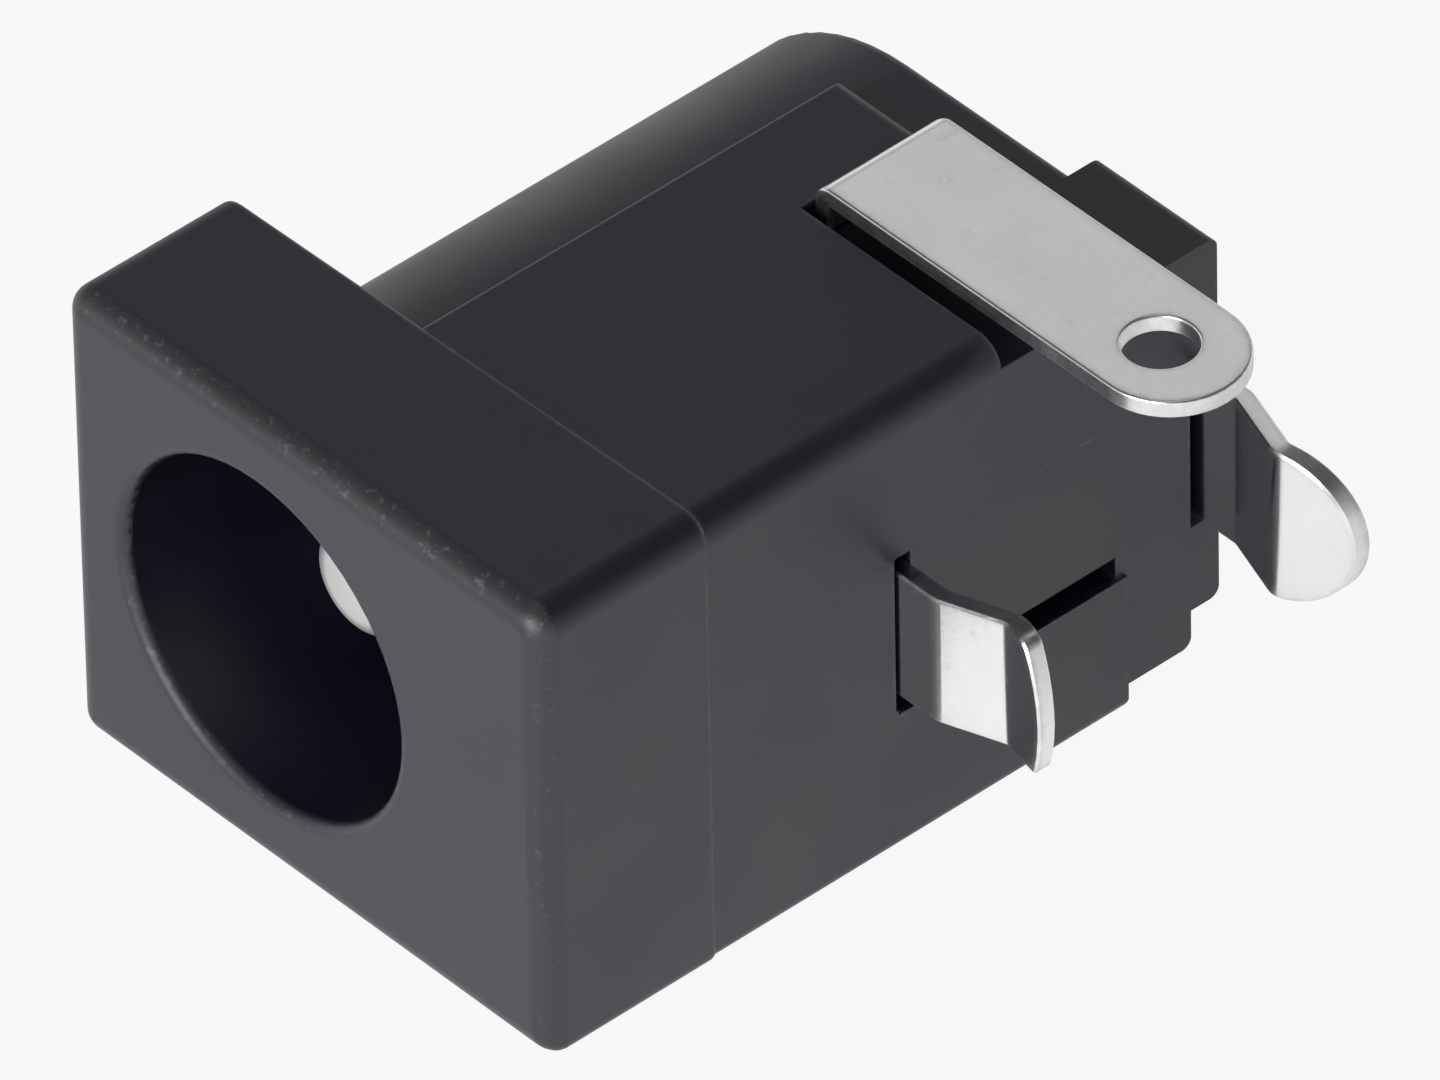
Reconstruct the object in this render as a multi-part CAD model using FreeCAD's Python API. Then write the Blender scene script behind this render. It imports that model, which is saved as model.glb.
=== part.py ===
import FreeCAD, Part
import os
from math import hypot, radians, sqrt, tan

# DC power jack for a circuit board, in millimetres, at its real size.
# Y is the plug's way in: the mouth is at Y = 0 and faces -Y. The board side faces +X, and +Z is up.
# The origin is on the jack's axis in the plane of the mouth. The jack lies on one flat side.

# Moulded housing, outside
FLANGE_WIDTH = 9.0            # across the flange, along Z
AXIS_TO_BOARD = 6.6           # from the jack's axis to the face that sits on the board
AXIS_TO_BACK = 4.47           # from the axis to the flange's edge away from the board
FLANGE_DEPTH = 3.55           # thickness of the flange at its board side, along Y
FLANGE_DRAFT = 0.16           # how much thinner the flange is at its back edge
PARTING_STEP = 0.03           # how far the box stands below the flange, where the mould halves met
BARREL_INSET = 0.48           # how far the half-round barrel lies inside the flange's flat sides
BARREL_SHIFT = 0.08           # middle of the half-round back, from the axis towards the board
BOX_BACK = 0.05               # crest of the box, where it steps down to the barrel
BODY_END = 13.65              # rear wall of the body, from the mouth's plane
BOX_SETBACK = 1.4             # from the rear wall to the rear end of the square box
BOARD_RELIEF = 0.1            # how far the body's board side stands below the board face

# Rounded edges of the housing
FLANGE_ROUND = 0.42           # front edges and back corners of the flange
FLANGE_REAR_ROUND = 0.12
UPPER_EDGE_ROUND = 0.5        # long edges between the board side and the flat sides
LOWER_EDGE_ROUND = 0.25
CREST_ROUND = 0.12
BOX_ROUND = 0.25              # upper and lower rear corners of the box
RECESS_ROUND = 0.08
REAR_ROUND = 0.2
WING_ROUND = 0.2
LIP_ROUND = 0.2

# Wings at the rear, each side of the pin terminal
WING_LENGTH = 0.6             # how far they stand behind the rear wall
WING_START = 3.85             # nearest point of a wing to the axis, along X
UPPER_WING_REACH = 4.02       # outer side of the upper wing, from the axis
LOWER_WING_REACH = 3.3        # outer side of the lower wing, from the axis
WING_CLEARANCE = 0.1          # between a wing and the terminal's edge

# Socket
BORE_RADIUS = 3.2
BORE_DEPTH = 10.0

# Room for the sleeve spring, and the openings round it
CHAMBER_SETBACK = 1.6         # from the rear wall to the chamber's rear end
CHAMBER_FRONT_GAP = 0.2       # from the front face of the sleeve contact's tail to the chamber's front end
CHAMBER_WALL = 1.75           # between the chamber and the body's board side
CHAMBER_UPPER = 1.42          # chamber's ends above and below the axis
CHAMBER_LOWER = 1.72
SLIT_WIDTH = 0.45             # long slit in the board side, at the chamber's lower end
CHANNEL_UPPER = 1.48          # upper edge of the shallow channel along the board side

# Sheet contacts
SHEET = 0.35                  # thickness of the sleeve contact and of the pin terminal
SIDE_SHEET = 0.3              # thickness of the side contact
CUT_BEVEL = 0.04              # on the punched edges of the two kinked contacts
STRIP_RIM_ROUND = 0.05        # round the upper face of the flat tail and its hole
LEAST_CORNER = 20.0           # faces that meet at less than this angle, in degrees, join smoothly
SLOT_CLEARANCE = 0.05         # between a contact's front side and its slot; the other side is seated
SLOT_END_CLEARANCE = 0.3      # past each edge of the sleeve contact's tail, along its slot

# Sleeve contact: a leaf spring in the chamber with a kinked tail
TAIL_SETBACK = 6.25           # from the rear wall to the front face of the straight part of the tail
TAIL_WIDTH = 2.5
TAIL_SHIFT = -0.08            # middle of the tail, above the axis
LEAF_STEP = 0.15              # how much narrower the leaf is than the tail, at each edge
TAIL_STRAIGHT = 0.8           # from the board face to the tail's first bend
TAIL_MIDDLE_REACH = 1.2       # between its two bends, and from there to its tip, along X
TAIL_END_REACH = 0.95
TAIL_BACK_LEAN = 20.0         # lean of the middle of the tail towards the rear, in degrees
TAIL_FRONT_LEAN = 12.0        # lean of the end of the tail towards the mouth, in degrees
TAIL_TIP_RADIUS = 2.95        # of the curved tip, seen flat
TAIL_TIP_SHIFT = -0.3         # furthest point of the curved tip, above the tail's middle
TAIL_UPPER_CORNER = 0.3
TAIL_LOWER_CORNER = 0.08
TAIL_BEND = 0.42              # radius of the bends, at the middle of the sheet
LEAF_ROOT_GAP = 0.3           # from the chamber's board side to the first bend of the leaf
LEAF_BULGE = 0.12             # how far the leaf stands nearer to the axis than the side contact's leg
LEAF_TOUCH_LEAD = 1.2         # from the leg's front edge forward to where a plug's sleeve meets the leaf
LEAF_TOUCH_LENGTH = 0.8
LEAF_LEAD = 0.1               # how far ahead of the side contact's leg the leaf lies flat on it
LEAF_SHORT = 0.35             # how far the leaf ends before the leg's rear edge
LEAF_BEND = 0.45

# Side contact: the switch contact in the chamber, with a flat tail along the upper side
STRIP_LIFT = 0.1              # underside of the flat tail, above the flange's flat side
STRIP_SETBACK = 1.2           # from the rear wall to the tail's rear edge
STRIP_WIDTH = 2.57
STRIP_START = 2.02            # outer side of the fold, along X
STRIP_REACH = 3.45            # how far the tip stands past the board face
STRIP_FOLD = 0.22             # radius of the fold, at the middle of the sheet
STRIP_CORNER = 0.35
SOLDER_HOLE = 1.25
SOLDER_HOLE_SETBACK = 1.51    # from the tip to the middle of the solder hole
LEG_SETBACK = 1.8             # from the rear wall to the rear edge of the leg inside the housing
LEG_WIDTH = 1.85
LEG_END = -1.2
LEG_CLEARANCE = 0.12          # from the leg to the chamber's side next to the pin
RECESS_FRONT_CLEARANCE = 0.2  # from the tail's edge to the front of the recess under it

# Centre pin: turned, with its rear end riveted over the terminal
PIN_RADIUS = 1.0
PIN_TIP = 1.93                # how far the tip stands inside the mouth
PIN_TIP_ROUND = 0.37
COLLAR_RADIUS = 1.35
COLLAR_LENGTH = 0.5
SEAT_RADIUS = 1.7             # round pad on the rear wall, under the terminal
SEAT_HEIGHT = 0.15
RIVET_NECK_RADIUS = 0.7
RIVET_HEAD_RADIUS = 1.15
RIVET_HEAD_HEIGHT = 0.1

# Pin terminal: a strip on the rear wall with a kinked tail
TERMINAL_WIDTH = 3.0
TERMINAL_STRAIGHT = 0.8       # from the board face to the first bend
TERMINAL_MIDDLE_REACH = 1.3   # between its two bends, and from there to its tip, along X
TERMINAL_END_REACH = 1.38
TERMINAL_FRONT_LEAN = 18.5    # lean of its middle towards the mouth, in degrees
TERMINAL_BACK_LEAN = 18.0     # lean of its end towards the rear, in degrees
TERMINAL_BEND = 0.42

MARGIN = 1.0                  # how far cutting tools reach past what they cut

HALF_FLANGE = FLANGE_WIDTH / 2
BARREL_RADIUS = HALF_FLANGE - BARREL_INSET
BODY_BOARD_SIDE = AXIS_TO_BOARD - BOARD_RELIEF
BOX_END = BODY_END - BOX_SETBACK
JACK_LENGTH = BODY_END + WING_LENGTH

SEAT_PLANE = BODY_END + SEAT_HEIGHT
TERMINAL_REAR = SEAT_PLANE + SHEET
HALF_TERMINAL = TERMINAL_WIDTH / 2
TERMINAL_FIRST_BEND = AXIS_TO_BOARD + TERMINAL_STRAIGHT
TERMINAL_SECOND_BEND = TERMINAL_FIRST_BEND + TERMINAL_MIDDLE_REACH
TERMINAL_TIP = TERMINAL_SECOND_BEND + TERMINAL_END_REACH

TAIL_FRONT = BODY_END - TAIL_SETBACK
TAIL_REAR = TAIL_FRONT + SHEET
CHAMBER_START = TAIL_FRONT - CHAMBER_FRONT_GAP
CHAMBER_END = BODY_END - CHAMBER_SETBACK
CHAMBER_NEAR = STRIP_START - LEG_CLEARANCE
CHAMBER_FAR = BODY_BOARD_SIDE - CHAMBER_WALL

TAIL_LOWER = TAIL_SHIFT - TAIL_WIDTH / 2
TAIL_UPPER = TAIL_SHIFT + TAIL_WIDTH / 2
TAIL_FIRST_BEND = AXIS_TO_BOARD + TAIL_STRAIGHT
TAIL_SECOND_BEND = TAIL_FIRST_BEND + TAIL_MIDDLE_REACH
TAIL_TIP = TAIL_SECOND_BEND + TAIL_END_REACH

LEG_REAR = BODY_END - LEG_SETBACK
LEG_FRONT = LEG_REAR - LEG_WIDTH
LEG_FACE = STRIP_START + SIDE_SHEET
STRIP_BOTTOM = HALF_FLANGE + STRIP_LIFT
STRIP_TOP = STRIP_BOTTOM + SIDE_SHEET
STRIP_REAR = BODY_END - STRIP_SETBACK
STRIP_FRONT = STRIP_REAR - STRIP_WIDTH
STRIP_TIP = AXIS_TO_BOARD + STRIP_REACH
STRIP_MIDDLE = STRIP_REAR - STRIP_WIDTH / 2
RECESS_FRONT = STRIP_FRONT - RECESS_FRONT_CLEARANCE


def point(x, y, z):
    return FreeCAD.Vector(x, y, z)


def block(x0, x1, y0, y1, z0, z1):
    """A plain block between two corners."""
    return Part.makeBox(x1 - x0, y1 - y0, z1 - z0, point(x0, y0, z0))


def rod(radius, y0, y1):
    """A round bar on the jack's axis."""
    return Part.makeCylinder(radius, y1 - y0, point(0, y0, 0), point(0, 1, 0))


def near(value, target):
    return abs(value - target) < 1e-6


def edges_where(shape, test):
    """The edges whose box passes a test."""
    return [edge for edge in shape.Edges if test(edge.BoundBox)]


def runs_along_x(box, y, z):
    return near(box.YMin, y) and near(box.YMax, y) and near(box.ZMin, z) and near(box.ZMax, z)


def runs_along_y(box, x, z):
    return near(box.XMin, x) and near(box.XMax, x) and near(box.ZMin, z) and near(box.ZMax, z)


def runs_along_z(box, x, y):
    return near(box.XMin, x) and near(box.XMax, x) and near(box.YMin, y) and near(box.YMax, y)


def bevel_cut_edges(shape):
    """Bevels each edge where two faces of a sheet piece meet at a corner, and leaves its smooth bends."""
    corners = []
    for edge in shape.Edges:
        middle = edge.valueAt((edge.FirstParameter + edge.LastParameter) / 2)
        faces = shape.ancestorsOfType(edge, Part.Face)
        normals = [face.normalAt(*face.Surface.parameter(middle)) for face in faces]
        if len(normals) == 2 and normals[0].getAngle(normals[1]) > radians(LEAST_CORNER):
            corners.append(edge)
    return shape.makeChamfer(CUT_BEVEL, corners)


def folded_outline(path, bend, sheet):
    """The outline of a folded sheet seen along its folds: a path in the plane, rounded at its corners.

    The path is a list of (u, v) points along the middle of the sheet, and bend is the radius there.
    """
    half = sheet / 2
    legs = []
    for (u0, v0), (u1, v1) in zip(path, path[1:]):
        length = hypot(u1 - u0, v1 - v0)
        legs.append(((u1 - u0) / length, (v1 - v0) / length))

    def side(offset):
        edges = []
        du, dv = legs[0]
        start = (path[0][0] - dv * offset, path[0][1] + du * offset)
        last = start
        for corner, (du, dv), (eu, ev) in zip(path[1:-1], legs, legs[1:]):
            turn = du * ev - dv * eu
            half_angle = abs(turn) / (1 + du * eu + dv * ev)
            back = bend * half_angle
            hand = 1 if turn > 0 else -1
            centre = (corner[0] - du * back - dv * bend * hand, corner[1] - dv * back + du * bend * hand)
            radius = bend - offset * hand
            first = (centre[0] + dv * radius * hand, centre[1] - du * radius * hand)
            third = (centre[0] + ev * radius * hand, centre[1] - eu * radius * hand)
            mu, mv = first[0] + third[0] - 2 * centre[0], first[1] + third[1] - 2 * centre[1]
            size = hypot(mu, mv)
            second = (centre[0] + mu / size * radius, centre[1] + mv / size * radius)
            edges.append((last, first))
            edges.append((first, second, third))
            last = third
        eu, ev = legs[-1]
        end = (path[-1][0] - ev * offset, path[-1][1] + eu * offset)
        edges.append((last, end))
        return start, edges, end

    left_start, left, left_end = side(half)
    right_start, right, right_end = side(-half)
    backwards = [tuple(reversed(edge)) for edge in reversed(right)]
    return left + [(left_end, right_end)] + backwards + [(right_start, left_start)]


def solid_from(outline, place, along):
    """A solid from a flat outline: place puts an outline point in space, and along is the extrusion."""
    edges = []
    for part in outline:
        points = [place(u, v) for u, v in part]
        if len(points) == 2:
            edges.append(Part.LineSegment(points[0], points[1]).toShape())
        else:
            edges.append(Part.Arc(points[0], points[1], points[2]).toShape())
    return Part.Face(Part.Wire(edges)).extrude(along)


def folded_across_z(path, bend, sheet, z0, z1):
    """A folded sheet whose folds run along Z."""
    outline = folded_outline(path, bend, sheet)
    return solid_from(outline, lambda u, v: point(u, v, z0), point(0, 0, z1 - z0))


def folded_across_y(path, bend, sheet, y0, y1):
    """A folded sheet whose folds run along Y. The path gives X and Z."""
    outline = folded_outline(path, bend, sheet)
    return solid_from(outline, lambda u, v: point(u, y0, v), point(0, y1 - y0, 0))


def round_board_edges(shape, board, side):
    """Rounds the two long edges between the board side and the flat sides."""
    for z, radius in ((side, UPPER_EDGE_ROUND), (-side, LOWER_EDGE_ROUND)):
        shape = shape.makeFillet(radius, edges_where(shape, lambda box: runs_along_y(box, board, z)))
    return shape


def make_flange():
    """The square front flange. Its rear face leans a little, for the mould's draft."""
    back_depth = FLANGE_DEPTH - FLANGE_DRAFT
    outline = [(-AXIS_TO_BACK, 0), (AXIS_TO_BOARD, 0),
               (AXIS_TO_BOARD, FLANGE_DEPTH), (-AXIS_TO_BACK, back_depth)]
    corners = [point(x, y, -HALF_FLANGE) for x, y in outline]
    plain = Part.Face(Part.makePolygon(corners + corners[:1])).extrude(point(0, 0, FLANGE_WIDTH))
    shape = round_board_edges(plain, AXIS_TO_BOARD, HALF_FLANGE)
    back_corners = edges_where(shape, lambda box: near(box.XMax, -AXIS_TO_BACK) and near(box.ZMin, box.ZMax))
    shape = shape.makeFillet(FLANGE_ROUND, back_corners)
    shape = shape.makeFillet(FLANGE_ROUND, edges_where(shape, lambda box: near(box.YMax, 0)))
    rear_edges = edges_where(shape, lambda box: box.YMin > FLANGE_DEPTH / 2)
    return shape.makeFillet(FLANGE_REAR_ROUND, rear_edges)


def make_box():
    """The square part of the body that stands on the board."""
    side = HALF_FLANGE - PARTING_STEP
    board = AXIS_TO_BOARD - PARTING_STEP
    plain = block(BOX_BACK, board, FLANGE_DEPTH / 2, BOX_END, -side, side)
    crests = edges_where(plain, lambda box: any(runs_along_y(box, BOX_BACK, z) for z in (-side, side)))
    rear_edges = edges_where(plain, lambda box: any(runs_along_x(box, BOX_END, z) for z in (-side, side)))
    long_edges_rounded = round_board_edges(plain.makeFillet(CREST_ROUND, crests), board, side)
    return long_edges_rounded.common(plain.makeFillet(BOX_ROUND, rear_edges))


def make_body():
    """The barrel and its square half, from the flange to the rear wall."""
    r = BARREL_RADIUS
    start = FLANGE_DEPTH / 2
    corners = [point(BARREL_SHIFT, start, r), point(BODY_BOARD_SIDE, start, r),
               point(BODY_BOARD_SIDE, start, -r), point(BARREL_SHIFT, start, -r)]
    edges = [Part.makeLine(a, b) for a, b in zip(corners, corners[1:])]
    edges.append(Part.Arc(corners[3], point(BARREL_SHIFT - r, start, 0), corners[0]).toShape())
    shape = Part.Face(Part.Wire(edges)).extrude(point(0, BODY_END - start, 0))
    rear_edges = edges_where(shape, lambda box: near(box.YMin, BODY_END)
                             and not near(box.XMin, BODY_BOARD_SIDE))
    return shape.makeFillet(REAR_ROUND, rear_edges)


def make_wing(inner, outer):
    """A wing beside the pin terminal, between two places along Z, with its outer rear corner rounded."""
    low, high = min(inner, outer), max(inner, outer)
    shape = block(WING_START, BODY_BOARD_SIDE, BODY_END - MARGIN, JACK_LENGTH, low, high)
    corner = edges_where(shape, lambda box: runs_along_x(box, JACK_LENGTH, outer))
    return shape.makeFillet(WING_ROUND, corner)


def make_housing():
    wing_gap = HALF_TERMINAL + WING_CLEARANCE
    shape = make_flange().fuse([make_box(), make_body(), make_wing(wing_gap, UPPER_WING_REACH),
                                make_wing(-wing_gap, -LOWER_WING_REACH)])
    shape = shape.fuse(rod(SEAT_RADIUS, BODY_END - SEAT_HEIGHT, SEAT_PLANE))

    outside = AXIS_TO_BOARD + MARGIN
    chamber = block(CHAMBER_NEAR, CHAMBER_FAR, CHAMBER_START, CHAMBER_END, -CHAMBER_LOWER, CHAMBER_UPPER)
    tail_slot = block(CHAMBER_FAR - SHEET, outside, TAIL_FRONT - SLOT_CLEARANCE, TAIL_REAR,
                      TAIL_LOWER - SLOT_END_CLEARANCE, TAIL_UPPER + SLOT_END_CLEARANCE)
    slit = block(CHAMBER_FAR - SHEET, outside, TAIL_FRONT, CHAMBER_END,
                 -CHAMBER_LOWER, SLIT_WIDTH - CHAMBER_LOWER)
    channel = block(BODY_BOARD_SIDE, outside, TAIL_FRONT, BOX_END + MARGIN, -CHAMBER_LOWER, CHANNEL_UPPER)
    recess = block(STRIP_START - SLOT_CLEARANCE, outside, RECESS_FRONT, BODY_END,
                   BARREL_RADIUS, STRIP_TOP + MARGIN)
    leg_slot = block(STRIP_START, LEG_FACE + SLOT_CLEARANCE, LEG_FRONT - SLOT_CLEARANCE, LEG_REAR,
                     0, BARREL_RADIUS + MARGIN)
    bore = rod(BORE_RADIUS, -MARGIN, BORE_DEPTH)
    collar_seat = rod(COLLAR_RADIUS, BORE_DEPTH - MARGIN, BORE_DEPTH + COLLAR_LENGTH)
    pin_hole = rod(PIN_RADIUS, BORE_DEPTH, SEAT_PLANE + MARGIN)
    shape = shape.cut([chamber, tail_slot, slit, channel, recess, leg_slot, bore, collar_seat, pin_hole])
    lip = edges_where(shape, lambda box: near(box.YMax, 0) and near(box.XLength, 2 * BORE_RADIUS))
    shape = shape.makeFillet(LIP_ROUND, lip)
    recess_edge = edges_where(shape, lambda box: runs_along_x(box, RECESS_FRONT, HALF_FLANGE - PARTING_STEP))
    return shape.makeFillet(RECESS_ROUND, recess_edge).removeSplitter()


def make_centre_pin():
    """The turned pin, from its rounded tip to the rivet head, as one revolved profile."""
    head_end = TERMINAL_REAR + RIVET_HEAD_HEIGHT
    profile = [(0, PIN_TIP), (PIN_RADIUS, PIN_TIP), (PIN_RADIUS, BORE_DEPTH), (COLLAR_RADIUS, BORE_DEPTH),
               (COLLAR_RADIUS, BORE_DEPTH + COLLAR_LENGTH), (PIN_RADIUS, BORE_DEPTH + COLLAR_LENGTH),
               (PIN_RADIUS, SEAT_PLANE), (RIVET_NECK_RADIUS, SEAT_PLANE), (RIVET_NECK_RADIUS, TERMINAL_REAR),
               (RIVET_HEAD_RADIUS, TERMINAL_REAR), (RIVET_NECK_RADIUS, head_end), (0, head_end)]
    points = [point(r, y, 0) for r, y in profile]
    face = Part.Face(Part.makePolygon(points + points[:1]))
    shape = face.revolve(point(0, 0, 0), point(0, 1, 0), 360)
    tip = edges_where(shape, lambda box: near(box.YMax, PIN_TIP) and near(box.XLength, 2 * PIN_RADIUS))
    return shape.makeFillet(PIN_TIP_ROUND, tip)


def make_pin_terminal():
    """The strip on the rear wall with a round end, a hole for the pin's neck and a kinked tail."""
    middle = SEAT_PLANE + SHEET / 2
    bend_y = middle - TERMINAL_MIDDLE_REACH * tan(radians(TERMINAL_FRONT_LEAN))
    reach = TERMINAL_TIP + SHEET
    end_y = bend_y + (reach - TERMINAL_SECOND_BEND) * tan(radians(TERMINAL_BACK_LEAN))
    path = [(-HALF_TERMINAL - MARGIN, middle), (TERMINAL_FIRST_BEND, middle),
            (TERMINAL_SECOND_BEND, bend_y), (reach, end_y)]
    strip = folded_across_z(path, TERMINAL_BEND, SHEET, -HALF_TERMINAL, HALF_TERMINAL)
    front, rear = BODY_END - MARGIN, JACK_LENGTH + MARGIN
    tip_centre = TERMINAL_TIP - HALF_TERMINAL
    blank = block(0, tip_centre, front, rear, -HALF_TERMINAL, HALF_TERMINAL)
    for x in (0, tip_centre):
        blank = blank.fuse(Part.makeCylinder(HALF_TERMINAL, rear - front, point(x, front, 0), point(0, 1, 0)))
    plain = strip.common(blank).cut(rod(RIVET_NECK_RADIUS, front, rear))
    return bevel_cut_edges(plain.removeSplitter())


def make_tail_blank(front, rear):
    """The outline of the sleeve contact's tail: a strip with a curved tip and rounded corners."""
    centre_x = TAIL_TIP - TAIL_TIP_RADIUS
    centre_z = TAIL_SHIFT + TAIL_TIP_SHIFT
    curve = Part.makeCylinder(TAIL_TIP_RADIUS, rear - front, point(centre_x, front, centre_z), point(0, 1, 0))
    shape = block(CHAMBER_FAR, TAIL_TIP, front, rear, TAIL_LOWER, TAIL_UPPER).common(curve)
    for z, radius in ((TAIL_LOWER, TAIL_LOWER_CORNER), (TAIL_UPPER, TAIL_UPPER_CORNER)):
        corner_x = centre_x + sqrt(TAIL_TIP_RADIUS ** 2 - (z - centre_z) ** 2)
        corner = edges_where(shape, lambda box: runs_along_y(box, corner_x, z))
        shape = shape.makeFillet(radius, corner)
    return shape


def make_sleeve_contact():
    """The leaf spring and its kinked tail, folded from one strip."""
    half = SHEET / 2
    tail_y = TAIL_FRONT + half
    bend_y = tail_y + TAIL_MIDDLE_REACH * tan(radians(TAIL_BACK_LEAN))
    reach = TAIL_TIP + SHEET
    end_y = bend_y - (reach - TAIL_SECOND_BEND) * tan(radians(TAIL_FRONT_LEAN))
    shoulder = CHAMBER_FAR + SHEET
    touch_x = LEG_FACE - LEAF_BULGE + half
    touch_y = LEG_FRONT - LEAF_TOUCH_LEAD
    tail_path = [(shoulder, tail_y), (TAIL_FIRST_BEND, tail_y), (TAIL_SECOND_BEND, bend_y), (reach, end_y)]
    leaf_path = [(shoulder, tail_y), (CHAMBER_FAR - LEAF_ROOT_GAP, tail_y),
                 (touch_x, touch_y - LEAF_TOUCH_LENGTH / 2), (touch_x, touch_y + LEAF_TOUCH_LENGTH / 2),
                 (LEG_FACE + half, LEG_FRONT - LEAF_LEAD), (LEG_FACE + half, LEG_REAR - LEAF_SHORT)]
    tail = folded_across_z(tail_path, TAIL_BEND, SHEET, TAIL_LOWER, TAIL_UPPER)
    leaf = folded_across_z(leaf_path, LEAF_BEND, SHEET, TAIL_LOWER + LEAF_STEP, TAIL_UPPER - LEAF_STEP)
    blank = make_tail_blank(TAIL_FRONT - MARGIN, CHAMBER_END)
    return bevel_cut_edges(tail.common(blank).fuse(leaf).removeSplitter())


def make_side_contact():
    """The switch contact: a flat tail along the upper side, folded down into the chamber."""
    half = SIDE_SHEET / 2
    leg_x = STRIP_START + half
    strip_z = STRIP_BOTTOM + half
    half_width = STRIP_WIDTH / 2
    tip_centre = STRIP_TIP - half_width
    path = [(leg_x, LEG_END), (leg_x, strip_z), (STRIP_TIP, strip_z)]
    folded = folded_across_y(path, STRIP_FOLD, SIDE_SHEET, STRIP_FRONT, STRIP_REAR)
    blank_top = STRIP_TOP + MARGIN
    flat_blank = block(STRIP_START, tip_centre, STRIP_FRONT, STRIP_REAR, BARREL_RADIUS, blank_top)
    corner = edges_where(flat_blank, lambda box: runs_along_z(box, STRIP_START, STRIP_REAR))
    flat_blank = flat_blank.makeFillet(STRIP_CORNER, corner)
    round_tip = Part.makeCylinder(half_width, blank_top - BARREL_RADIUS,
                                  point(tip_centre, STRIP_MIDDLE, BARREL_RADIUS))
    leg_blank = block(STRIP_START, LEG_FACE + STRIP_FOLD, LEG_FRONT, LEG_REAR, LEG_END, BARREL_RADIUS)
    hole_place = point(STRIP_TIP - SOLDER_HOLE_SETBACK, STRIP_MIDDLE, 0)
    hole = Part.makeCylinder(SOLDER_HOLE / 2, blank_top, hole_place)
    plain = folded.common(flat_blank.fuse([round_tip, leg_blank])).cut(hole)
    plain = plain.removeSplitter()
    rim = edges_where(plain, lambda box: near(box.ZMin, STRIP_TOP) and box.XMax - box.XMin > SIDE_SHEET)
    return plain.makeFillet(STRIP_RIM_ROUND, rim)


NODES = {
    "housing": make_housing,
    "centre_pin": make_centre_pin,
    "pin_terminal": make_pin_terminal,
    "sleeve_contact": make_sleeve_contact,
    "side_contact": make_side_contact,
}

os.makedirs("parts", exist_ok=True)
for name, make in NODES.items():
    shape = make()
    if len(shape.Solids) == 1:
        shape = shape.Solids[0]
    shape.exportStep(f"parts/{name}.step")
    print(name, "valid", shape.isValid(), "solids", len(shape.Solids), "volume", round(shape.Volume, 3))
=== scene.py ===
from math import cos, radians, sin

import bpy
from mathutils import Matrix, Vector


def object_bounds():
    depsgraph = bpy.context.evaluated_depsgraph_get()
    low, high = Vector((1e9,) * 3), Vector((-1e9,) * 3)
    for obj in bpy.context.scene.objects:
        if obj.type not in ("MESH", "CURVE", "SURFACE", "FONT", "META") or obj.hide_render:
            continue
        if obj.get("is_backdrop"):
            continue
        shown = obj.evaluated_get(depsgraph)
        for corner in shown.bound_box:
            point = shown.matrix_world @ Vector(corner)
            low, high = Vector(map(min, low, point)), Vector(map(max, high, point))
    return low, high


# Dresses the dc jack: black moulded housing, tinned sheet contacts and a plated turned pin,
# lying on a white table. Blender's unit is the metre; sizes here are in millimetres.
MM = 0.001

# Where the photograph was taken from: angles in degrees, distances in millimetres
VIEW_AZIMUTH = 48.54
VIEW_ELEVATION = 40.49
VIEW_ROLL = -1.15
VIEW_RIGHT = 7.144            # from the jack's origin to the picture's middle, along the picture
VIEW_UP = 1.596
VIEW_DISTANCE = 464.84
LENS = 750.0
SENSOR = 36.0
CLIP_NEAR = 0.02              # in metres
CLIP_FAR = 20

# How far the knocks, dust and painted rim sheen reach from a moulded rim, and how deep a sheared
# edge is felt for
RIM_REACH = 0.14
EDGE_REACH = 0.27
FEEL_SAMPLES = 4

# Colours are linear red, green, blue and 1; a pair is what the slow patches run between.
# A tinge is how far an effect takes the colour, from 0 to 1, and the colour it goes towards.
PLASTIC = ((0.0048, 0.0047, 0.0150, 1), (0.0086, 0.0083, 0.0225, 1))
PLASTIC_DUST = (0.5, (0.2, 0.2, 0.2, 1))
# The next tinge lightens the upward-facing rims: partly knocks, partly painted sheen
RIM_KNOCKS_AND_SHEEN = (0.8, (0.042, 0.042, 0.047, 1))
RIM_CHIPS = (0.6, (0.15, 0.15, 0.157, 1))
SHEET = ((0.86, 0.865, 0.86, 1), (0.91, 0.91, 0.905, 1))
SHEET_SCUFFS = (0.25, (0.72, 0.725, 0.72, 1))
SHEET_RUB = (0.7, (0.96, 0.96, 0.95, 1))
SHEARED = ((0.5, 0.5, 0.49, 1), (0.8, 0.8, 0.79, 1))
SHEARED_SHARE = 0.85
PIN = ((0.84, 0.835, 0.82, 1), (0.9, 0.895, 0.88, 1))
PIN_RUB = (0.5, (0.95, 0.95, 0.93, 1))

# Roughness: a finish's own, then what each effect adds to it
PLASTIC_ROUGH = 0.40
PATCHES_ROUGHEN = 0.07
EDGES_ROUGHEN = 0.06
SHEET_ROUGH = 0.14
ROLLING_ROUGHENS = 0.12
SHEARING_ROUGHENS = 0.2
SCUFFS_ROUGHEN = 0.1
PIN_ROUGH = 0.46
TURNING_ROUGHENS = 0.12
PLASTIC_IOR = 1.63

# A bump is its height in millimetres and its strength
PLASTIC_BUMP = (0.006, 0.5)
SHEET_BUMP = (0.004, 0.4)
PIN_BUMP = (0.001, 0.4)
SHEET_GRAIN_SHARE = 0.6       # how much of the fine grain shows beside the rolling lines

# How fast the drawn lines change along X, Y and Z: rolled along the tails, turned round the pin
ROLLING = (0.35, 5.0, 5.0)
TURNING = (0.2, 16.0, 0.2)

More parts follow.
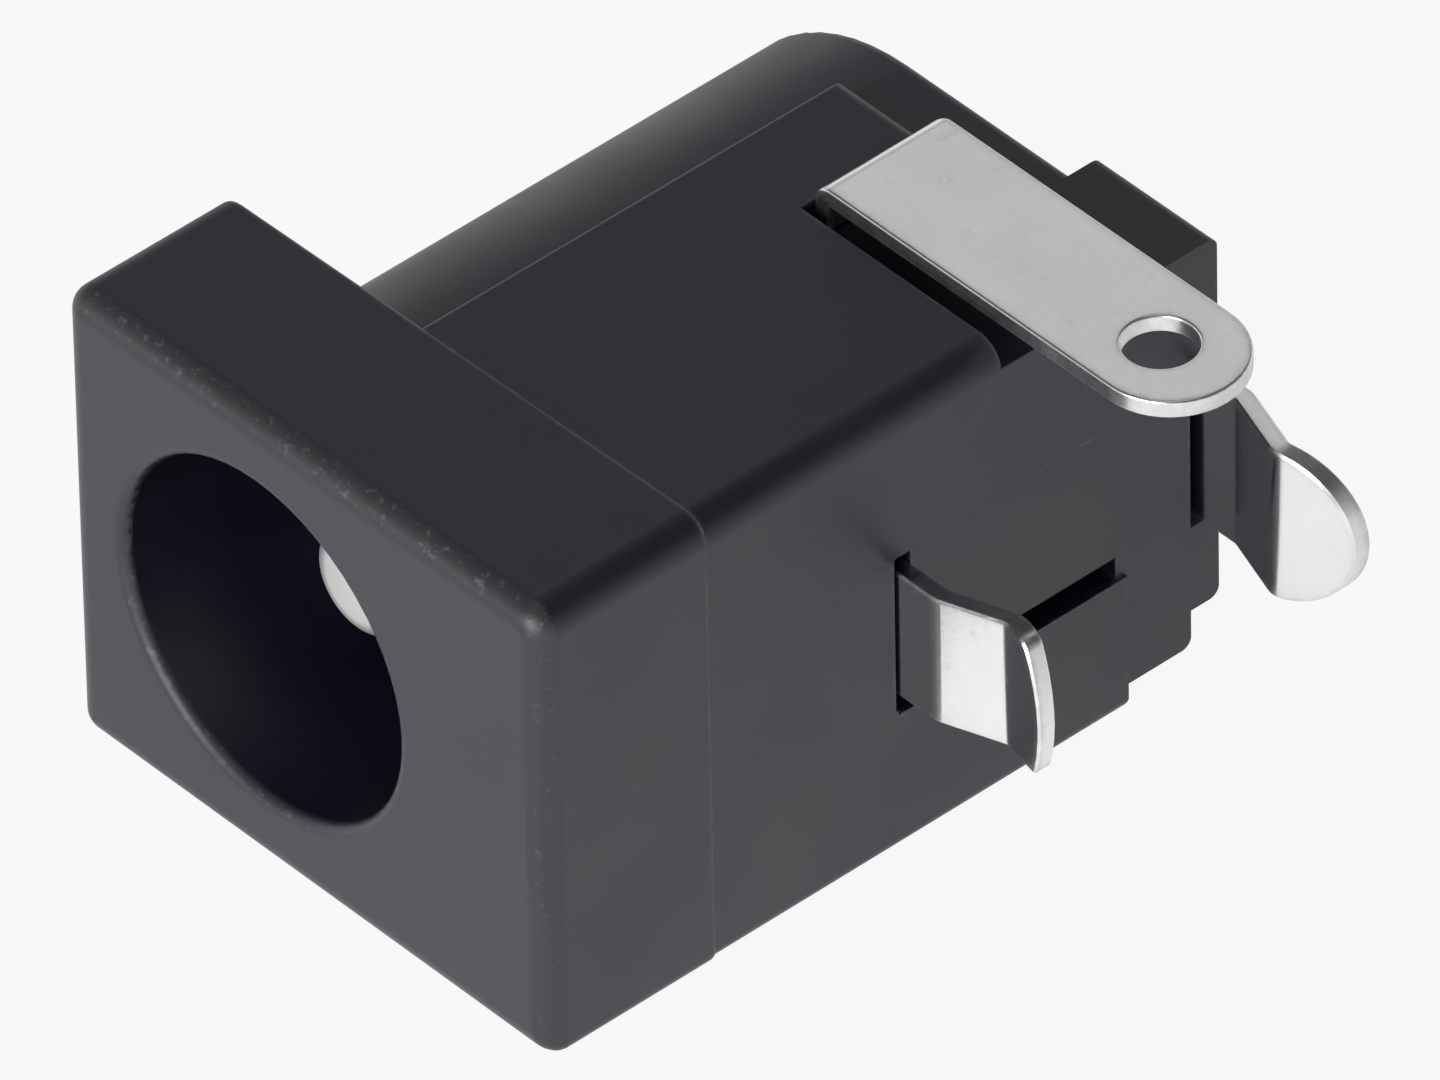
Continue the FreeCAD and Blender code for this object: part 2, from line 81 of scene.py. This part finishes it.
# A noise is its scale per millimetre, its detail and its roughness; one of two figures has no
# scale, because the effect's own size sets it. Limits are where a smooth step starts and ends.
PATCH_NOISE = (4.0, 0.55)
PATCH_LIMITS = (0.3, 0.7)
FLECK_NOISE = (2.0, 0.6)
FLECK_LIMITS = (0.35, 0.7)
FLECKS_TO_PATCH = 22.0
GRAIN_NOISE = (2.0, 0.6)
GRAIN_SHARE = 0.6
SWELL_NOISE = (2.0, 0.5)
SWELL_SHARE = 0.8
SWELLS_TO_GRAIN = 0.05
EDGE_LIMITS = (0.995, 0.9)    # the cosine between the true normal and the rounded one
BREAK_NOISE = (2.4, 4.0, 0.65)
BREAK_START = 0.62
BREAK_SHARE = 0.5
BREAK_STEP = 0.18
LINE_NOISE = (3.0, 0.7)
SCUFF_NOISE = (1.6, 6.0, 0.72)
SCUFF_LIMITS = (0.55, 0.75)
RIM_SIDE_LIMITS = (0.03, 0.3)       # how far the rounded normal leans along the jack's axis
RIM_END_LIMITS = (0.99, 0.88)
RIM_UPPER_LIMITS = (-0.25, 0.35)    # how far it points up
CHIP_NOISE = (6.5, 4.0, 0.72)
CHIP_LIMITS = (0.55, 0.68)
SHEARED_LIMITS = (0.8, 0.45)
TORN_NOISE = (4.5, 4.0, 0.7)
TORN_LIMITS = (0.4, 0.62)

# Table, room and lamp; a brightness of 1 is white
TABLE_SIZE = 4000.0
TABLE_WHITE = (0.88, 0.88, 0.88)
TABLE_ROUGH = 0.9
FALL_OFF = (1.0, 22.0)        # where the table's brightness in reflections falls off, front to rear
FALL_OFF_DEPTH = 0.28
SHADOW_DEPTH = 0.09           # how much of the soft shadow shows on the white table
WALL_LOW = 1.0                # the room's brightness at table height, and overhead
WALL_HIGH = 0.11
CEILING_FROM = 0.6            # how high the ray points where the ceiling starts
PANEL_WAY = (-0.57, 0.503, 0.649)     # a pale panel that the flat strip mirrors
PANEL_GLOW = 0.46
PANEL_LIMITS = (0.965, 0.994)         # the cosine between the ray and the panel's middle
OVERHEAD_GLOW = 0.4           # a pale patch straight above
OVERHEAD_LIMITS = (0.92, 0.97)        # how high the ray points at its rim
DIM_SIDE = 0.45               # how much dimmer the room is on the side away from the barrel
WHITE = (1, 1, 1, 1)
LAMP_PLACE = (225, -837, 243)
LAMP_SIZE = 700
LAMP_WATTS = 7.0

# Kinds of node socket, and the places of a mixing node's colour sockets
FLOAT = "NodeSocketFloat"
VECTOR = "NodeSocketVector"
MIX_FACTOR = 0
MIX_FIRST = 6
MIX_SECOND = 7
MIX_RESULT = 2


def new_group(name, inputs, outputs):
    """An empty node group: inputs are (name, socket kind, value), outputs (name, socket kind)."""
    group = bpy.data.node_groups.new(name, "ShaderNodeTree")
    for label, kind, value in inputs:
        made = group.interface.new_socket(name=label, in_out="INPUT", socket_type=kind)
        if value is not None:
            made.default_value = value
    for label, kind in outputs:
        group.interface.new_socket(name=label, in_out="OUTPUT", socket_type=kind)
    start = group.nodes.new("NodeGroupInput")
    end = group.nodes.new("NodeGroupOutput")
    return group, start, end


def add_node(tree, kind, **settings):
    node = tree.nodes.new(kind)
    for name, value in settings.items():
        setattr(node, name, value)
    return node


def feed(tree, target, source):
    """Joins a socket to a socket, or sets it to a plain value."""
    if isinstance(source, bpy.types.NodeSocket):
        tree.links.new(source, target)
    else:
        target.default_value = source


def maths(tree, operation, *values):
    node = add_node(tree, "ShaderNodeMath", operation=operation)
    for target, value in zip(node.inputs, values):
        feed(tree, target, value)
    return node.outputs[0]


def with_added(tree, total, *parts):
    """A value with a share of each effect added; parts are (effect, share)."""
    for effect, share in parts:
        total = maths(tree, "ADD", total, maths(tree, "MULTIPLY", effect, share))
    return total


def ramp_between(tree, value, low, high, to_low=0.0, to_high=1.0):
    """A smooth step of a value between two limits."""
    node = add_node(tree, "ShaderNodeMapRange", interpolation_type="SMOOTHSTEP")
    for target, source in zip(node.inputs, (value, low, high, to_low, to_high)):
        feed(tree, target, source)
    return node.outputs[0]


def millimetre_place(tree, stretch=(1, 1, 1)):
    """The point on the object in millimetres, stretched for grain that runs one way."""
    place = add_node(tree, "ShaderNodeTexCoord")
    scaled = add_node(tree, "ShaderNodeVectorMath", operation="MULTIPLY")
    feed(tree, scaled.inputs[0], place.outputs["Object"])
    scaled.inputs[1].default_value = [part / MM for part in stretch]
    return scaled.outputs[0]


def noise(tree, place, scale, detail, roughness):
    node = add_node(tree, "ShaderNodeTexNoise")
    feed(tree, node.inputs["Vector"], place)
    feed(tree, node.inputs["Scale"], scale)
    feed(tree, node.inputs["Detail"], detail)
    feed(tree, node.inputs["Roughness"], roughness)
    return node.outputs["Fac"]


def mix_colours(tree, factor, first, second):
    node = add_node(tree, "ShaderNodeMix", data_type="RGBA")
    feed(tree, node.inputs[MIX_FACTOR], factor)
    feed(tree, node.inputs[MIX_FIRST], first)
    feed(tree, node.inputs[MIX_SECOND], second)
    return node.outputs[MIX_RESULT]


def tinge(tree, colour, effect, share, towards):
    """Takes a colour part of the way towards another where an effect shows."""
    return mix_colours(tree, maths(tree, "MULTIPLY", effect, share), colour, towards)


def cloudy_finish_group():
    """Slow patches over a surface, as handling and uneven cooling leave them."""
    group, start, end = new_group("cloudy_finish", [("Patch Size", FLOAT, 3.0)],
                                  [("Patches", FLOAT), ("Flecks", FLOAT)])
    place = millimetre_place(group)
    coarse = maths(group, "DIVIDE", 1.0, start.outputs["Patch Size"])
    patches = noise(group, place, coarse, *PATCH_NOISE)
    fine = maths(group, "MULTIPLY", coarse, FLECKS_TO_PATCH)
    flecks = noise(group, place, fine, *FLECK_NOISE)
    feed(group, end.inputs["Patches"], ramp_between(group, patches, *PATCH_LIMITS))
    feed(group, end.inputs["Flecks"], ramp_between(group, flecks, *FLECK_LIMITS))
    return group


def fine_grain_group():
    """The texture of a surface straight from its tool: a fine even grain with a slower swell."""
    group, start, end = new_group("fine_grain", [("Grain Size", FLOAT, 0.06)], [("Height", FLOAT)])
    place = millimetre_place(group)
    fine = maths(group, "DIVIDE", 1.0, start.outputs["Grain Size"])
    grain = noise(group, place, fine, *GRAIN_NOISE)
    slow = maths(group, "MULTIPLY", fine, SWELLS_TO_GRAIN)
    swell = noise(group, place, slow, *SWELL_NOISE)
    height = with_added(group, maths(group, "MULTIPLY", grain, GRAIN_SHARE), (swell, SWELL_SHARE))
    feed(group, end.inputs["Height"], height)
    return group


def worn_edges_group():
    """Where an edge is rubbed: the rounded normal leaves the true one, broken up along the edge."""
    group, start, end = new_group("worn_edges", [("Width", FLOAT, 0.08), ("Break Up", FLOAT, 0.4)],
                                  [("Edge", FLOAT), ("Rub", FLOAT), ("Rounded", VECTOR)])
    rounded = add_node(group, "ShaderNodeBevel", samples=FEEL_SAMPLES)
    feed(group, rounded.inputs["Radius"], maths(group, "MULTIPLY", start.outputs["Width"], MM))
    true = add_node(group, "ShaderNodeNewGeometry")
    facing = add_node(group, "ShaderNodeVectorMath", operation="DOT_PRODUCT")
    feed(group, facing.inputs[0], rounded.outputs[0])
    feed(group, facing.inputs[1], true.outputs["Normal"])
    edge = ramp_between(group, facing.outputs["Value"], *EDGE_LIMITS)
    breaks = noise(group, millimetre_place(group), *BREAK_NOISE)
    lowered = maths(group, "MULTIPLY", start.outputs["Break Up"], BREAK_SHARE)
    low = maths(group, "SUBTRACT", BREAK_START, lowered)
    kept = ramp_between(group, breaks, low, maths(group, "ADD", low, BREAK_STEP))
    feed(group, end.inputs["Edge"], edge)
    feed(group, end.inputs["Rub"], maths(group, "MULTIPLY", edge, kept))
    feed(group, end.inputs["Rounded"], rounded.outputs[0])
    return group


def drawn_lines_group():
    """Fine lines along one direction, as rolling, stamping or turning leaves them."""
    group, start, end = new_group("drawn_lines", [("Place", VECTOR, None), ("Lines", FLOAT, 1.0)],
                                  [("Lines", FLOAT), ("Scuffs", FLOAT)])
    lines = noise(group, start.outputs["Place"], start.outputs["Lines"], *LINE_NOISE)
    scuffs = noise(group, millimetre_place(group), *SCUFF_NOISE)
    feed(group, end.inputs["Lines"], lines)
    feed(group, end.inputs["Scuffs"], ramp_between(group, scuffs, *SCUFF_LIMITS))
    return group


def use_group(tree, group, **values):
    node = add_node(tree, "ShaderNodeGroup", node_tree=group)
    for name, value in values.items():
        feed(tree, node.inputs[name.replace("_", " ")], value)
    return node.outputs


def new_material(name):
    material = bpy.data.materials.new(name)
    material.use_nodes = True
    return material, material.node_tree, material.node_tree.nodes["Principled BSDF"]


def bump(tree, shader, height, distance, strength):
    """Turns a height into the surface's normal; distance is the full height in millimetres."""
    node = add_node(tree, "ShaderNodeBump")
    node.inputs["Strength"].default_value = strength
    node.inputs["Distance"].default_value = distance * MM
    feed(tree, node.inputs["Height"], height)
    feed(tree, shader.inputs["Normal"], node.outputs[0])


def moulded_black_plastic(effects):
    """Black nylon from a lightly sparked mould, a little rubbed and dusty along its edges, with a
    painted sheen on its upward-facing rims.
    """
    material, tree, shader = new_material("moulded_black_plastic")
    cloud = use_group(tree, effects["cloudy_finish"], Patch_Size=3.2)
    edge = use_group(tree, effects["worn_edges"], Width=RIM_REACH, Break_Up=0.35)
    grain = use_group(tree, effects["fine_grain"], Grain_Size=0.07)
    specks = maths(tree, "MULTIPLY", cloud["Flecks"], edge["Rub"])
    body = mix_colours(tree, cloud["Patches"], *PLASTIC)
    rubbed = tinge(tree, body, specks, *PLASTIC_DUST)

    # Rims between the end faces and the sides are chipped; there the rounded normal leans off the
    # jack's axis. Where these rims face upwards they are also lightened all along: partly knocks,
    # partly a painted sheen that stands in for the light they catch
    lean = add_node(tree, "ShaderNodeSeparateXYZ")
    feed(tree, lean.inputs[0], edge["Rounded"])
    tilt = maths(tree, "ABSOLUTE", lean.outputs["Y"])
    rim = maths(tree, "MULTIPLY", ramp_between(tree, tilt, *RIM_SIDE_LIMITS),
                ramp_between(tree, tilt, *RIM_END_LIMITS))
    upper = maths(tree, "MULTIPLY", rim, ramp_between(tree, lean.outputs["Z"], *RIM_UPPER_LIMITS))
    chips = ramp_between(tree, noise(tree, millimetre_place(tree), *CHIP_NOISE), *CHIP_LIMITS)
    chips = maths(tree, "MULTIPLY", chips, upper)
    knocked_and_sheened = tinge(tree, rubbed, upper, *RIM_KNOCKS_AND_SHEEN)
    chipped = tinge(tree, knocked_and_sheened, chips, *RIM_CHIPS)
    feed(tree, shader.inputs["Base Color"], chipped)
    rough = with_added(tree, PLASTIC_ROUGH, (cloud["Patches"], PATCHES_ROUGHEN),
                       (edge["Edge"], EDGES_ROUGHEN))
    feed(tree, shader.inputs["Roughness"], rough)
    shader.inputs["IOR"].default_value = PLASTIC_IOR
    bump(tree, shader, grain["Height"], *PLASTIC_BUMP)
    return material


def tinned_sheet(effects):
    """Satin tin plating on rolled brass strip: rolling lines, scuffs and dull sheared edges."""
    material, tree, shader = new_material("tinned_sheet")
    place = millimetre_place(tree, ROLLING)
    lines = use_group(tree, effects["drawn_lines"], Place=place, Lines=2.2)
    cloud = use_group(tree, effects["cloudy_finish"], Patch_Size=1.4)
    edge = use_group(tree, effects["worn_edges"], Width=0.05, Break_Up=0.9)
    grain = use_group(tree, effects["fine_grain"], Grain_Size=0.05)
    body = mix_colours(tree, cloud["Patches"], *SHEET)
    scuffed = tinge(tree, body, lines["Scuffs"], *SHEET_SCUFFS)
    bright = tinge(tree, scuffed, edge["Rub"], *SHEET_RUB)

    # The sheared edges are narrow, so a short feel inwards meets the sheet's faces; they are
    # duller and torn
    thin = add_node(tree, "ShaderNodeAmbientOcclusion", inside=True, only_local=True,
                    samples=FEEL_SAMPLES)
    thin.inputs["Distance"].default_value = EDGE_REACH * MM
    sheared = ramp_between(tree, thin.outputs["AO"], *SHEARED_LIMITS)
    torn = noise(tree, millimetre_place(tree), *TORN_NOISE)
    dull = mix_colours(tree, ramp_between(tree, torn, *TORN_LIMITS), *SHEARED)
    feed(tree, shader.inputs["Base Color"], tinge(tree, bright, sheared, SHEARED_SHARE, dull))
    rough = with_added(tree, SHEET_ROUGH, (lines["Lines"], ROLLING_ROUGHENS),
                       (sheared, SHEARING_ROUGHENS), (lines["Scuffs"], SCUFFS_ROUGHEN))
    feed(tree, shader.inputs["Roughness"], rough)
    shader.inputs["Metallic"].default_value = 1.0
    height = with_added(tree, lines["Lines"], (grain["Height"], SHEET_GRAIN_SHARE))
    bump(tree, shader, height, *SHEET_BUMP)
    return material


def plated_turned_pin(effects):
    """Nickel plating over a turned pin, with fine turning rings across its length."""
    material, tree, shader = new_material("plated_turned_pin")
    place = millimetre_place(tree, TURNING)
    lines = use_group(tree, effects["drawn_lines"], Place=place, Lines=1.0)
    cloud = use_group(tree, effects["cloudy_finish"], Patch_Size=1.1)
    edge = use_group(tree, effects["worn_edges"], Width=0.05, Break_Up=0.8)
    body = mix_colours(tree, cloud["Patches"], *PIN)
    feed(tree, shader.inputs["Base Color"], tinge(tree, body, edge["Rub"], *PIN_RUB))
    rough = with_added(tree, PIN_ROUGH, (lines["Lines"], TURNING_ROUGHENS))
    feed(tree, shader.inputs["Roughness"], rough)
    shader.inputs["Metallic"].default_value = 1.0
    bump(tree, shader, lines["Lines"], *PIN_BUMP)
    return material


def white_table():
    """A white sheet with a light soft shadow; in reflections it is less bright to the rear."""
    material, tree, shader = new_material("white_table")
    shader.inputs["Base Color"].default_value = (*TABLE_WHITE, 1)
    shader.inputs["Roughness"].default_value = TABLE_ROUGH
    white = add_node(tree, "ShaderNodeEmission")
    path = add_node(tree, "ShaderNodeLightPath")
    spot = add_node(tree, "ShaderNodeSeparateXYZ")
    feed(tree, spot.inputs[0], millimetre_place(tree))
    behind = ramp_between(tree, spot.outputs["Y"], *FALL_OFF, 1.0, 1 - FALL_OFF_DEPTH)
    camera = path.outputs["Is Camera Ray"]
    feed(tree, white.inputs["Strength"], maths(tree, "MAXIMUM", behind, camera))
    seen = maths(tree, "MULTIPLY", camera, 1 - SHADOW_DEPTH)
    mirrored = maths(tree, "MAXIMUM", path.outputs["Is Glossy Ray"],
                     path.outputs["Is Transmission Ray"])
    mix = add_node(tree, "ShaderNodeMixShader")
    feed(tree, mix.inputs[0], maths(tree, "MAXIMUM", seen, mirrored))
    feed(tree, mix.inputs[1], shader.outputs[0])
    feed(tree, mix.inputs[2], white.outputs[0])
    feed(tree, tree.nodes["Material Output"].inputs["Surface"], mix.outputs[0])
    return material


def dress_nodes(effects):
    """Gives each carried-over node its finish."""
    sheet = tinned_sheet(effects)
    finishes = {
        "housing": moulded_black_plastic(effects),
        "centre_pin": plated_turned_pin(effects),
        "pin_terminal": sheet,
        "sleeve_contact": sheet,
        "side_contact": sheet,
    }
    for name, finish in finishes.items():
        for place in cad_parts[name].material_slots:
            place.material = finish


def lay_table():
    low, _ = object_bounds()
    half = TABLE_SIZE * MM / 2
    mesh = bpy.data.meshes.new("table")
    corners = [(-half, -half, low.z), (half, -half, low.z),
               (half, half, low.z), (-half, half, low.z)]
    mesh.from_pydata(corners, [], [(0, 1, 2, 3)])
    table = bpy.data.objects.new("table", mesh)
    bpy.context.scene.collection.objects.link(table)
    mesh.materials.append(white_table())
    table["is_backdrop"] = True


def light_room():
    """A plain room, bright near the table and dim overhead, that the camera sees as white."""
    world = bpy.data.worlds.new("room")
    bpy.context.scene.world = world
    world.use_nodes = True
    tree = world.node_tree
    room = tree.nodes["Background"]
    way = add_node(tree, "ShaderNodeSeparateXYZ")
    ray = add_node(tree, "ShaderNodeTexCoord").outputs["Generated"]
    feed(tree, way.inputs[0], ray)
    height = add_node(tree, "ShaderNodeMapRange")
    from_floor = (way.outputs["Z"], 0.0, CEILING_FROM, WALL_LOW, WALL_HIGH)
    for target, value in zip(height.inputs, from_floor):
        feed(tree, target, value)
    towards = add_node(tree, "ShaderNodeVectorMath", operation="DOT_PRODUCT")
    feed(tree, towards.inputs[0], ray)
    towards.inputs[1].default_value = PANEL_WAY
    panel = ramp_between(tree, towards.outputs["Value"], *PANEL_LIMITS, 0.0, PANEL_GLOW)
    away = maths(tree, "MULTIPLY", maths(tree, "MAXIMUM", way.outputs["X"], 0.0), DIM_SIDE)
    walls = maths(tree, "MULTIPLY", height.outputs[0], maths(tree, "SUBTRACT", 1.0, away))
    overhead = ramp_between(tree, way.outputs["Z"], *OVERHEAD_LIMITS, 0.0, OVERHEAD_GLOW)
    glow = maths(tree, "ADD", maths(tree, "ADD", walls, panel), overhead)
    feed(tree, room.inputs["Strength"], glow)
    room.inputs["Color"].default_value = WHITE
    white = add_node(tree, "ShaderNodeBackground")
    white.inputs["Color"].default_value = WHITE
    path = add_node(tree, "ShaderNodeLightPath")
    mix = add_node(tree, "ShaderNodeMixShader")
    feed(tree, mix.inputs[0], path.outputs["Is Camera Ray"])
    feed(tree, mix.inputs[1], room.outputs[0])
    feed(tree, mix.inputs[2], white.outputs[0])
    feed(tree, tree.nodes["World Output"].inputs["Surface"], mix.outputs[0])


def add_lamp(name, place, size, watts):
    """A soft square lamp aimed at the jack's middle; place and size are in millimetres."""
    low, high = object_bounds()
    lamp = bpy.data.lights.new(name, "AREA")
    lamp.size = size * MM
    lamp.energy = watts
    holder = bpy.data.objects.new(name, lamp)
    holder.visible_camera = False
    holder.location = Vector(place) * MM
    aim = (low + high) / 2 - holder.location
    holder.rotation_euler = aim.to_track_quat("-Z", "Y").to_euler()
    bpy.context.scene.collection.objects.link(holder)


def set_camera():
    a, e, r = radians(VIEW_AZIMUTH), radians(VIEW_ELEVATION), radians(VIEW_ROLL)
    level_right = Vector((cos(a), sin(a), 0))
    back = Vector((sin(a) * cos(e), -cos(a) * cos(e), sin(e)))
    level_up = back.cross(level_right)
    right = cos(r) * level_right + sin(r) * level_up
    up = cos(r) * level_up - sin(r) * level_right
    place = (right * VIEW_RIGHT + up * VIEW_UP + back * VIEW_DISTANCE) * MM
    camera = bpy.data.cameras.new("camera")
    camera.lens = LENS
    camera.sensor_width = SENSOR
    camera.clip_start = CLIP_NEAR
    camera.clip_end = CLIP_FAR
    holder = bpy.data.objects.new("camera", camera)
    turn = Matrix((right, up, back)).transposed().to_4x4()
    holder.matrix_world = Matrix.Translation(place) @ turn
    bpy.context.scene.collection.objects.link(holder)
    bpy.context.scene.camera = holder


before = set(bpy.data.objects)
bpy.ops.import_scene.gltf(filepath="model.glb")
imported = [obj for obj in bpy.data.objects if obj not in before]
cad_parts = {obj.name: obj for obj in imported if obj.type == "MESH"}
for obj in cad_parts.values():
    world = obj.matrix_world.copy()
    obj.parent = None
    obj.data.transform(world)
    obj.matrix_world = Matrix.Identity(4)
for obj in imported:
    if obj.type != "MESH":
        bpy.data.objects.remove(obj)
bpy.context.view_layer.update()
effects = {
    "cloudy_finish": cloudy_finish_group(),
    "fine_grain": fine_grain_group(),
    "worn_edges": worn_edges_group(),
    "drawn_lines": drawn_lines_group(),
}
dress_nodes(effects)
lay_table()
light_room()
add_lamp("window_lamp", LAMP_PLACE, LAMP_SIZE, LAMP_WATTS)
set_camera()
bpy.context.scene.view_settings.view_transform = "Standard"
